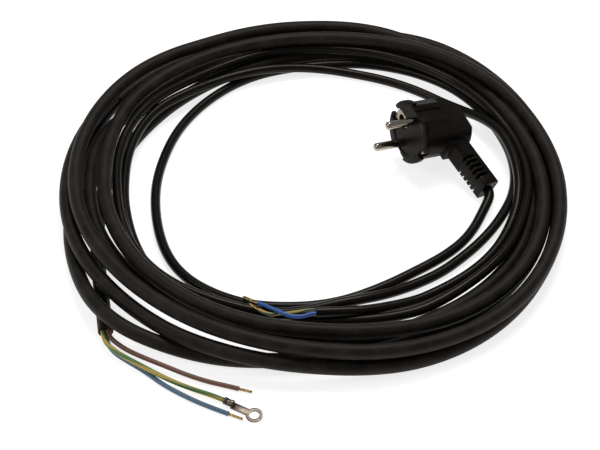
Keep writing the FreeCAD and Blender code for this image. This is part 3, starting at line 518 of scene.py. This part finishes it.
tin = skin_material("tinned_copper", (0.15, 0.125, 0.10), (0.05, 0.038, 0.028), amount=0.7,
                    cloud=500.0, grain=4000.0, rough=0.3, bump=0.15, Metallic=1.0)
terminal.data.materials.append(tin)
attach(terminal, "root")
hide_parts("ring_terminal")

for colour in ("brown", "earth", "blue"):
    piece, line = rubber_cores[colour]
    length = core_lengths[colour]

# --- Thin cord ----------------------------------------------------------------------------------
# Three-core PVC cord, 5.6 mm across, smooth and glossy: one round curve from plug to cut end. It
# lies once round inside the loops, joins the coil under and over itself and ends stripped in front.
PVC_DIA = 0.0056
# The plug's frame: Z out of its face along the pins, the cord leaving near its Y.
plug_z = Vector((-0.853, -0.477, 0.216)).normalized()
cord_side = Vector((0.42, -0.868, -0.262))
plug_y = (cord_side - plug_z * cord_side.dot(plug_z)).normalized()
plug_face = Matrix.Translation((0.0524, 0.0309, 0.0256))
PLUG = plug_face @ Matrix((plug_y.cross(plug_z), plug_y, plug_z)).transposed().to_4x4()
RELIEF_LEAN, RELIEF_LENGTH, LEAD_STRAIGHT = math.radians(6.2), 0.048, 0.0035
relief_root = Vector((0, 0, -0.0235))
relief_way = Vector((0, math.cos(RELIEF_LEAN), -math.sin(RELIEF_LEAN)))
cord_exit = PLUG @ (relief_root + relief_way * RELIEF_LENGTH)
exit_way = PLUG.to_3x3() @ relief_way
# Rows as in rubber_loops; the angle falls, because the cord runs the other way.
pvc_loops = [
    (348, 96.4, 1.4), (340, 94.2, 0.2), (330, 91.4, 0), (320, 87.7, 0), (310, 85, 0),
    (300, 84.7, 0), (290, 85.8, 0), (280, 88.3, 0), (270, 90.6, 0), (260, 92.8, 0), (250, 95.7, 0),
    (240, 97.1, 0), (230, 97.9, 0), (225, 97.8, 0), (217, 96.3, 0), (210, 94.2, 0), (200, 91.3, 0),
    (190, 89.6, 0), (180, 89.1, 0), (170, 89.4, 0), (160, 90.7, 0), (150, 93.5, 0), (140, 96.7, 0),
    (128, 101.1, 0), (120, 104.4, 0), (112, 107.6, 0), (105, 109.6, 0), (97, 111.2, 0),
    (90, 113, 0), (83, 115.2, 0), (75, 118.4, 0.4), (67, 118.6, 2), (60, 118.9, 3.4),
    (45, 120.4, 4.2), (30, 118.4, 5), (19, 117.2, 4.7), (10, 116.4, 4.2), (0, 114.2, 3.2),
    (-5, 112, 2.6), (-10, 109.2, 2.4), (-15, 106.4, 2.2), (-22, 102.9, 1.4), (-30, 99, 0.4),
    (-37, 96.4, 0), (-45, 94.7, 0), (-52, 92.9, 0.2), (-60, 91.8, 0.8), (-75, 92.4, 3.6),
    (-82, 92.8, 3.8), (-90, 95.4, 2.6), (-100, 98.6, 1.4), (-105, 99.8, 1.4), (-112, 101.6, 2.4),
    (-120, 104.4, 4.2), (-128, 107.2, 5.2), (-135, 109.6, 5.8), (-142, 110.8, 6.6),
    (-150, 111.6, 7.8), (-156, 111.3, 9), (-165, 110.3, 10.2), (-173, 109.8, 11.1),
    (-180, 110.5, 11.6), (-195, 112.8, 12.6), (-203, 113.5, 13.2), (-210, 113.4, 13.4),
    (-218, 113.4, 12.2), (-225, 113, 10.8), (-240, 114.6, 8.8), (-255, 118.9, 8.1),
    (-270, 119.7, 8.1), (-285, 120.4, 8.6), (-300, 119.9, 9.8), (-315, 120.7, 9.7),
    (-330, 120.1, 10.1), (-341, 121, 8.6), (-350, 121, 8.3), (-360, 121, 8.4), (-375, 118.7, 8.1),
    (-390, 117.6, 8), (-400, 115.2, 7.2), (-410, 113.2, 5.8), (-420, 111.8, 3.8),
    (-435, 105.2, 1.4), (-450, 101.5, 0), (-465, 105.2, 0), (-480, 107.8, 0), (-488, 109, 0),
    (-495, 110, 0), (-502, 109.8, 0.6), (-510, 108.6, 2.4), (-516, 107.9, 3.6), (-525, 106.7, 5.5),
    (-533, 106.3, 6.2), (-540, 106.3, 6.7), (-555, 108.7, 7.4), (-570, 110.6, 8.1),
    (-578, 109.4, 8.1), (-587, 107.6, 7.4), (-597, 107, 6.2), (-605, 106.3, 6.1),
    (-613, 106.1, 5.8), (-623, 107, 3.7), (-630, 108, 2), (-637, 108.3, 0.6), (-645, 107.7, 0),
    (-660, 108.4, 0), (-675, 109.7, 0), (-683, 111.3, 2.2), (-690, 112.6, 6.4), (-695, 114, 9.2),
    (-701, 115.5, 10.4), (-710, 115.7, 10), (-720, 115.5, 8.9), (-728, 115, 6.9),
    (-735, 113.8, 4.7), (-742, 112.2, 3.2), (-750, 110.6, 2.4), (-757, 108.3, 1.6),
    (-765, 105.5, 1), (-772, 103.5, 0.6), (-780, 102.4, 0.8), (-787, 102.3, 2.2),
]
tail_route = [(28.2, -97.5, 6.7), (14.5, -99.7, 8.3), (0.8, -100.6, 8.5)]
pvc = skin_material(
    "glossy_pvc", (0.0045, 0.0038, 0.0031), (0.04, 0.033, 0.026), amount=0.2, cloud=60.0,
    grain=900.0, rough=0.27, bump=0.02, Specular_IOR_Level=0.17, Specular_Tint=WARM_SHEEN)
pvc_route = [cord_exit, cord_exit + exit_way * LEAD_STRAIGHT]
pvc_route += loop_points(pvc_loops, low=2.8, step=8) + from_coil(tail_route)
pvc_cord = cord_curve("pvc_cord", pvc_route, PVC_DIA)
pvc_cord.data.materials.append(pvc)
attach(pvc_cord, "root")
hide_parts("pvc_cord_coil", "pvc_cord_lead", "pvc_cord_tail")

# --- Tail of the thin cord ----------------------------------------------------------------------
# The cord's stripped end: three 2 mm cores come out of the sheath, bend up over each other and end
# in bare strands of differing length. Their colours are fresher than the rubber cable's.
TAIL_CORE_DIA, TAIL_OFFSET, TAIL_STRAND_DIA = 0.0020, 0.00136, 0.0013
tail_strand_lengths = {"brown": 0.004, "earth": 0.0064, "blue": 0.009}
tail_finish = {
    "brown": skin_material("brown_cord_core", (0.13, 0.055, 0.03), (0.2, 0.12, 0.08),
                           amount=0.6, rough=0.35, bump=0.15, **INSULATION_WEAR),
    "blue": skin_material("blue_cord_core", (0.010, 0.105, 0.42), (0.05, 0.12, 0.3),
                          amount=0.6, rough=0.33, bump=0.15, **INSULATION_WEAR),
    "earth": striped_material("striped_cord_core", (0.05, 0.10, 0.085), (0.50, 0.36, 0.05),
                              (0.15, 0.15, 0.1), turns=0.8),
}
tail_places = {
    "earth": (30, [
        (-5.4, -99.7, 8.6), (-10.9, -100.1, 7.8), (-15.8, -99.9, 7.1), (-19.0, -100.3, 7.2),
        (-22.0, -101.2, 7.4), (-26.2, -100.2, 7.9), (-28.6, -98.0, 7.7)]),
    "blue": (150, [
        (-5.5, -103.9, 9.2), (-9.8, -104.4, 9.3), (-14.3, -103.4, 9.6), (-18.4, -100.9, 9.8),
        (-24.2, -97.2, 9.0), (-29.2, -93.6, 8.2)]),
    "brown": (270, [(-6.0, -101.8, 7.2), (-9.4, -101.9, 7.0), (-12.8, -100.9, 6.7)]),
}
cord_end = pvc_route[-1]
end_way = (pvc_route[-1] - pvc_route[-2]).normalized()
tail_cores, tail_strands = {}, {}
for colour, (angle, points) in tail_places.items():
    route = core_route(cord_end, end_way, TAIL_OFFSET, angle, points, TAIL_CORE_DIA)
    piece, line = add_core("cord_core_in_" + colour, colour, route, TAIL_CORE_DIA, tail_finish)
    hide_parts("tail_core_" + colour)
    way = (route[-1] - route[-2]).normalized()
    tail_cores[colour] = (piece, line)
    tail_strands[colour] = bare_strands("tail_copper_" + colour, route[-1], way,
                                        tail_strand_lengths[colour], TAIL_STRAND_DIA)
for colour, length in (("earth", 0.0323), ("blue", 0.0350)):
    piece, line = tail_cores[colour]

# --- Plug ---------------------------------------------------------------------------------------
# Angled earthed plug, moulded onto the cord in one shot of black PVC: round front with side
# grooves, narrow sloping rear and a bend relief slotted from both sides. Its skin is finely
# grained.
mould = bpy.data.objects.new("moulded_plug_body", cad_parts["plug_overmould"].data.copy())
bpy.context.collection.objects.link(mould)
bpy.ops.object.select_all(action="DESELECT")
mould.select_set(True)
bpy.context.view_layer.objects.active = mould
mould.data.materials.clear()
bpy.ops.object.mode_set(mode="EDIT")
bpy.ops.mesh.select_all(action="SELECT")
bpy.ops.mesh.remove_doubles(threshold=0.000002)
bpy.ops.mesh.dissolve_limited(angle_limit=math.radians(0.8))
bpy.ops.object.mode_set(mode="OBJECT")
soft_edge = mould.modifiers.new("soft_edge", "BEVEL")
soft_edge.width = 0.00028
soft_edge.segments = 2
soft_edge.limit_method = "ANGLE"
soft_edge.angle_limit = math.radians(28)
bpy.ops.object.modifier_apply(modifier=soft_edge.name)
bpy.ops.object.shade_smooth_by_angle(angle=math.radians(30))
moulding = skin_material(
    "moulded_pvc", (0.0028, 0.0021, 0.0016), (0.018, 0.014, 0.011), amount=0.3, cloud=120.0,
    grain=3200.0, rough=0.4, bump=0.2, Specular_IOR_Level=0.12, Specular_Tint=WARM_SHEEN)
mould.data.materials.append(moulding)
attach(mould, "root")
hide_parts("plug_overmould")

# Carried-over solids of the plug: hard insert, nickel-plated pins, spring-brass earth parts and
# crimps.
METAL_WEAR = {"cloud": 350.0, "grain": 3500.0, "Metallic": 1.0}
insert_black = skin_material(
    "insert_plastic", (0.004, 0.0032, 0.0026), (0.022, 0.018, 0.014), amount=0.3, cloud=200.0,
    grain=2500.0, rough=0.38, bump=0.08, Specular_IOR_Level=0.12, Specular_Tint=WARM_SHEEN)
nickel = skin_material("nickel_plating", (0.45, 0.39, 0.33), (0.12, 0.09, 0.07),
                       amount=0.25, rough=0.1, bump=0.05, **METAL_WEAR)
spring = skin_material("earth_spring_metal", (0.42, 0.35, 0.26), (0.20, 0.16, 0.11),
                       amount=0.6, rough=0.3, bump=0.08, **METAL_WEAR)
crimped = skin_material("crimp_metal", (0.55, 0.50, 0.42), (0.30, 0.25, 0.18),
                        amount=0.6, rough=0.3, bump=0.1, **METAL_WEAR)
for name, finish in (
        ("plug_insert", insert_black), ("plug_pin_line", nickel), ("plug_pin_neutral", nickel),
        ("plug_earth_strip", spring), ("plug_earth_sleeve", spring),
        ("plug_crimp_line", crimped), ("plug_crimp_neutral", crimped),
        ("plug_crimp_earth", crimped)):
    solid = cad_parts[name]
    solid.data.materials.clear()
    solid.data.materials.append(finish)

# Inside the moulding: the cord's sheath is held for 20 mm, and its cores run up to the crimps.
HELD_LENGTH, CORE_STRAIGHT, CORE_SAG = 0.020, 0.004, 0.0045
held_from = cord_exit - exit_way * HELD_LENGTH
held_cord = cord_curve(
    "cord_held_in_plug", [held_from, held_from + exit_way * (HELD_LENGTH / 2), cord_exit], PVC_DIA)
held_cord.data.materials.append(pvc)
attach(held_cord, "root")
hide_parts("plug_held_cord")
held_local = relief_root + relief_way * (RELIEF_LENGTH - HELD_LENGTH)
# Each core's place round the cord, how far it fans out, and its crimp's back end in the plug.
for colour, angle, fan, goal in (
        ("brown", 150, 0.010, (-0.0095, 0, -0.0154)),
        ("blue", 30, 0.010, (0.0095, 0, -0.0154)),
        ("earth", 270, 0.013, (0, 0, -0.0162))):
    turn, goal = math.radians(angle), Vector(goal)
    seat = held_local + Vector((math.cos(turn), 0, math.sin(turn))) * TAIL_OFFSET
    low = goal.z - CORE_SAG
    local = [seat, seat - relief_way * CORE_STRAIGHT,
             Vector((goal.x * 0.7 + seat.x * 0.3, fan, low)),
             Vector((goal.x, goal.y + CORE_STRAIGHT, low)), goal]
    route = [PLUG @ point for point in local]
    piece, _ = add_core("plug_core_in_" + colour, colour, route, TAIL_CORE_DIA, tail_finish)
    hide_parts("plug_core_" + colour)

# --- Light and floor ----------------------------------------------------------------------------
# Plain pale floor that glows a little, so that it comes out as white as the photo's background,
# and soft studio light: one large panel over the coil and a weaker one at the left.
bpy.ops.mesh.primitive_plane_add(size=6.0, location=(0, 0, 0))
floor = bpy.context.object
floor.name = "floor"
pale = bpy.data.materials.new("pale_floor")
pale.use_nodes = True
pale_inputs = pale.node_tree.nodes["Principled BSDF"].inputs
pale_inputs["Base Color"].default_value = (0.5, 0.5, 0.5, 1)
pale_inputs["Roughness"].default_value = 0.9
pale_inputs["Emission Color"].default_value = (1, 1, 1, 1)
pale_inputs["Emission Strength"].default_value = 0.78
floor.data.materials.append(pale)
world = bpy.data.worlds.new("studio")
world.use_nodes = True
world_inputs = world.node_tree.nodes["Background"].inputs
world_inputs["Color"].default_value = (1.0, 1.0, 1.0, 1)
world_inputs["Strength"].default_value = 0.22
bpy.context.scene.world = world
for name, place, size, power in (
        ("overhead", (0.1, 0.45, 1.1), 0.5, 7.5), ("left", (-0.9, -0.3, 0.8), 0.4, 2.5)):
    bpy.ops.object.light_add(type="AREA", location=place)
    lamp = bpy.context.object
    lamp.name = name
    lamp.data.size = size
    lamp.data.energy = power
    lamp.rotation_euler = (-Vector(place)).to_track_quat("-Z", "Y").to_euler()
bpy.context.scene.view_settings.view_transform = "Standard"
